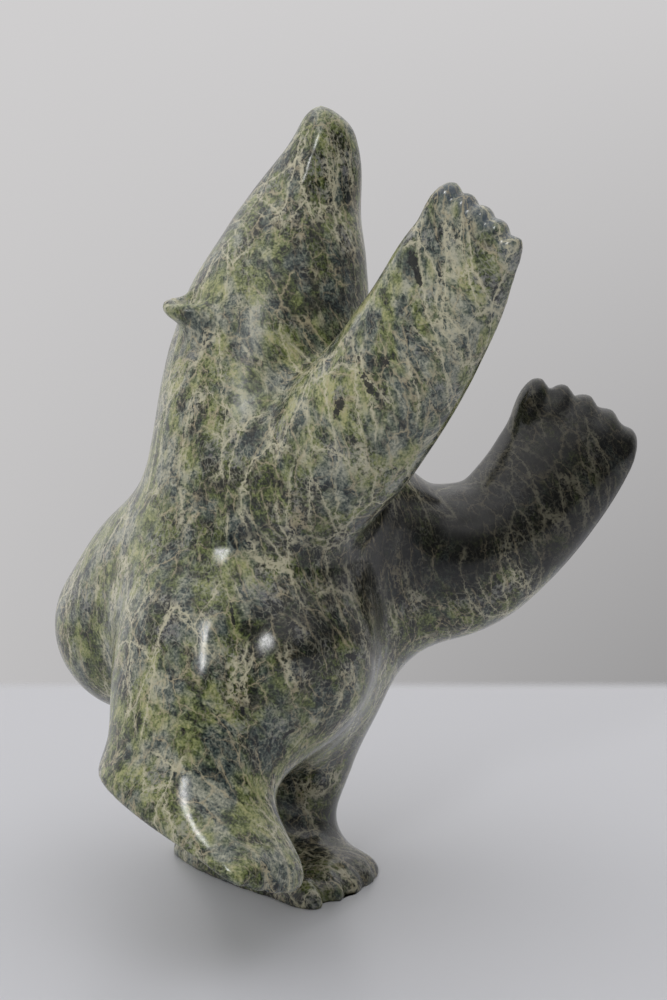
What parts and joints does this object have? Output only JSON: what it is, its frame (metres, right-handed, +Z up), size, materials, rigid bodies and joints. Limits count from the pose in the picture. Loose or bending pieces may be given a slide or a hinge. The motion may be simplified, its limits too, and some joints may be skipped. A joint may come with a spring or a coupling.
{
  "type": "bear carving",
  "caption": "Polished green stone carving of a dancing bear on one foot, arms raised and head thrown back.",
  "frame": {"origin": "on the flat sole of the standing (left) foot, near its middle, on the surface the bear stands on", "axes": "+Z up; -Y is the side the bear is shown from; +X to that side's right, the way both arms reach; the bear faces +X and a little -Y"},
  "size_m": [0.2388, 0.17, 0.2987],
  "materials": {
    "stone": "polished, veined"
  },
  "bodies": {
    "root": {"bear": "stone"}
  },
  "joints": []
}
